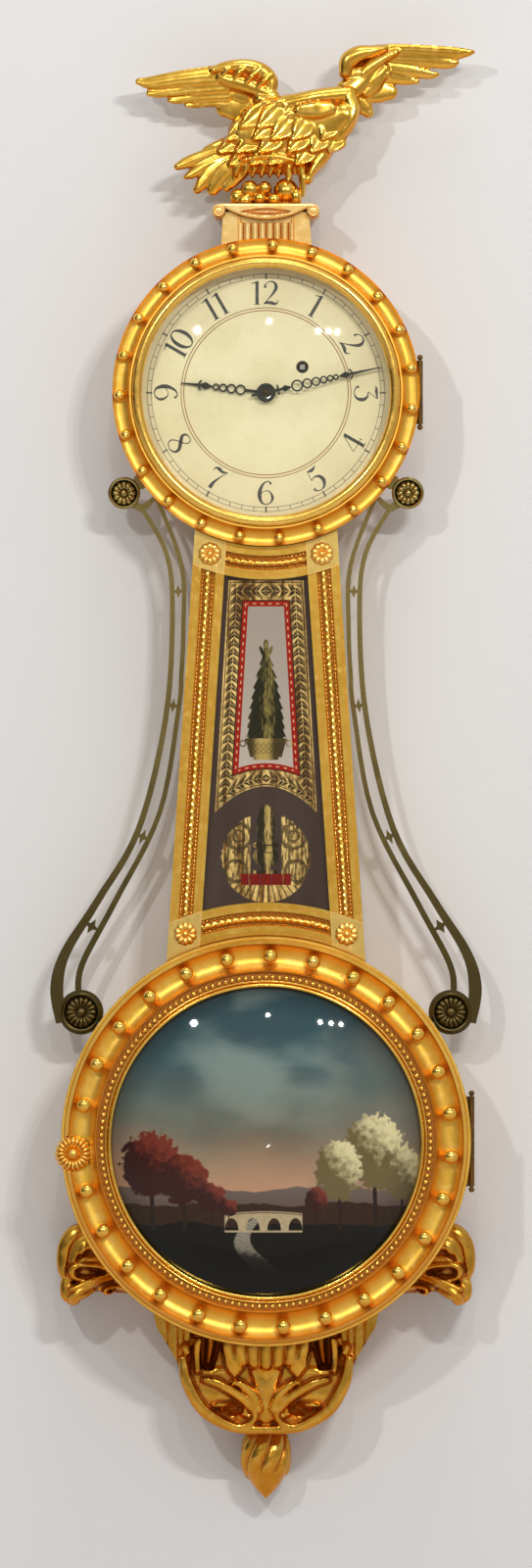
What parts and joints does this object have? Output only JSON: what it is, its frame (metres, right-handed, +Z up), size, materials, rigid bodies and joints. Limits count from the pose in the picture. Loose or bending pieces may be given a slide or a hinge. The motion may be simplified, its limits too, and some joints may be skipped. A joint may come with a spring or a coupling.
{
  "type": "girandole wall clock",
  "caption": "Gilt wall clock with round head, tapered throat and round domed lower box; the head bezel and lower door swing, the hands, train, pendulum and weight move.",
  "frame": {"origin": "centre of the hanger hole in the back of the head, on the wall plane", "axes": "+Z up, +Y into the wall, so the dial faces -Y, and +X to the right seen from the front"},
  "size_m": [0.3474, 0.1217, 1.171],
  "materials": {
    "gilt_wood": "burnished gold leaf over red clay and gesso",
    "gilt_carving": "burnished gold leaf on carved wood",
    "gilt_brass": "polished and lacquered",
    "aged_brass": "dark patina",
    "brass": "brushed",
    "blued_steel": "blued",
    "steel": "brushed",
    "dial_paint": "satin enamel",
    "clear_glass": "polished",
    "painted_glass": "reverse painted, glossy",
    "sheet_iron": "black",
    "cast_iron": "as cast",
    "cord": "twisted gut"
  },
  "bodies": {
    "case": {"head_case": "gilt_wood", "plinth": "gilt_wood", "plinth_cap": "gilt_carving", "eagle_body": "gilt_carving", "eagle_left_wing": "gilt_carving", "eagle_right_wing": "gilt_carving", "eagle_perch": "gilt_carving", "dial": "dial_paint", "hanger_plate": "sheet_iron", "case_hinge_leaves": "gilt_brass", "hinge_pins": "gilt_brass", "throat_case": "gilt_wood", "throat_frame": "gilt_wood", "throat_rope": "gilt_carving", "throat_rosettes": "gilt_carving", "throat_glass": "painted_glass", "weight_baffle": "sheet_iron", "lower_case": "gilt_wood", "strike_plate": "gilt_brass", "left_side_arm": "aged_brass", "right_side_arm": "aged_brass", "arm_rosettes": "aged_brass", "left_leaf": "gilt_carving", "right_leaf": "gilt_carving", "base_bracket": "gilt_carving", "pendant_bud": "gilt_carving", "movement_plates": "brass", "plate_pillars": "brass", "screws": "aged_brass", "suspension_bridge": "brass", "weight_cord": "cord"},
    "bezel": {"head_bezel": "gilt_wood", "bezel_hinge_leaf": "gilt_brass", "bezel_balls": "gilt_carving", "sight_ring": "gilt_brass", "head_glass": "clear_glass"},
    "door": {"lower_door": "gilt_wood", "door_hinge_leaf": "gilt_brass", "door_balls": "gilt_carving", "door_beading": "gilt_carving", "tablet_glass": "painted_glass"},
    "latch": {"latch_rosette": "gilt_brass", "latch_tongue": "gilt_brass"},
    "centre": {"centre_wheel": "brass", "cannon_pinion": "brass", "minute_hand": "blued_steel", "hand_nut": "brass"},
    "motion": {"motion_wheel": "brass"},
    "hour": {"hour_wheel": "brass", "hour_hand": "blued_steel"},
    "great": {"great_wheel": "brass"},
    "click": {"click": "blued_steel"},
    "third": {"third_wheel": "brass"},
    "escape": {"escape_wheel": "brass"},
    "verge": {"anchor": "blued_steel"},
    "pendulum": {"pendulum_rod": "steel", "pendulum_bob": "brass"},
    "barrel": {"barrel": "brass"},
    "weight": {"weight": "cast_iron"},
    "pulley": {"weight_pulley": "brass"}
  },
  "joints": [
    {"name": "bezel_swing", "type": "hinge", "parent": "case", "child": "bezel", "pos_m": [0.1235, -0.0762, -0.062], "axis": [0, 0, 1], "range_deg": [0, 110]},
    {"name": "door_swing", "type": "hinge", "parent": "case", "child": "door", "pos_m": [0.1646, -0.0922, -0.662], "axis": [0, 0, 1], "range_deg": [0, 110]},
    {"name": "latch_turn", "type": "hinge", "parent": "door", "child": "latch", "pos_m": [-0.15431, -0.09, -0.67144], "axis": [0, 1, 0], "range_deg": [0, 90]},
    {"name": "centre_turn", "type": "hinge", "parent": "case", "child": "centre", "pos_m": [0, -0.05, -0.062], "axis": [0, 1, 0], "continuous": true},
    {"name": "motion_turn", "type": "hinge", "parent": "case", "child": "motion", "pos_m": [0.0127, -0.053, -0.0747], "axis": [0, 1, 0], "continuous": true},
    {"name": "hour_turn", "type": "hinge", "parent": "case", "child": "hour", "pos_m": [0, -0.056, -0.062], "axis": [0, 1, 0], "continuous": true},
    {"name": "great_turn", "type": "hinge", "parent": "case", "child": "great", "pos_m": [0.0292, -0.021, -0.0413], "axis": [0, 1, 0], "continuous": true},
    {"name": "click_drop", "type": "hinge", "parent": "great", "child": "click", "pos_m": [0.01506, -0.0237, -0.04789], "axis": [0, 1, 0], "range_deg": [0, 6.5]},
    {"name": "third_turn", "type": "hinge", "parent": "case", "child": "third", "pos_m": [-0.015, -0.037, -0.0465], "axis": [0, 1, 0], "continuous": true},
    {"name": "escape_turn", "type": "hinge", "parent": "case", "child": "escape", "pos_m": [-0.006, -0.0427, -0.0275], "axis": [0, 1, 0], "continuous": true},
    {"name": "pendulum_swing", "type": "hinge", "parent": "case", "child": "pendulum", "pos_m": [0, -0.06, -0.01], "axis": [0, 1, 0], "range_deg": [-3, 3]},
    {"name": "verge_swing", "type": "hinge", "parent": "case", "child": "verge", "pos_m": [0, -0.043, -0.01], "axis": [0, 1, 0], "range_deg": [-3, 3]},
    {"name": "weight_lift", "type": "slide", "parent": "case", "child": "weight", "axis": [0, 0, 1], "range_m": [0, 0.382], "deforming": ["weight_cord"]},
    {"name": "barrel_turn", "type": "hinge", "parent": "case", "child": "barrel", "pos_m": [0.0292, -0.034, -0.0413], "axis": [0, 1, 0], "range_deg": [0, 5760]},
    {"name": "pulley_turn", "type": "hinge", "parent": "weight", "child": "pulley", "pos_m": [0.0076, -0.029, -0.519], "axis": [0, 1, 0], "range_deg": [-1564, 0]}
  ],
  "couplings": [
    {"joint": "motion_turn", "follows": "centre_turn", "ratio": -0.33333},
    {"joint": "hour_turn", "follows": "centre_turn", "ratio": 0.083333},
    {"joint": "great_turn", "follows": "centre_turn", "ratio": -0.083333},
    {"joint": "third_turn", "follows": "centre_turn", "ratio": -8},
    {"joint": "escape_turn", "follows": "centre_turn", "ratio": 76},
    {"joint": "verge_swing", "follows": "pendulum_swing", "ratio": 1},
    {"joint": "barrel_turn", "follows": "weight_lift", "rad_per_m": 263.16},
    {"joint": "pulley_turn", "follows": "weight_lift", "rad_per_m": -71.429}
  ]
}
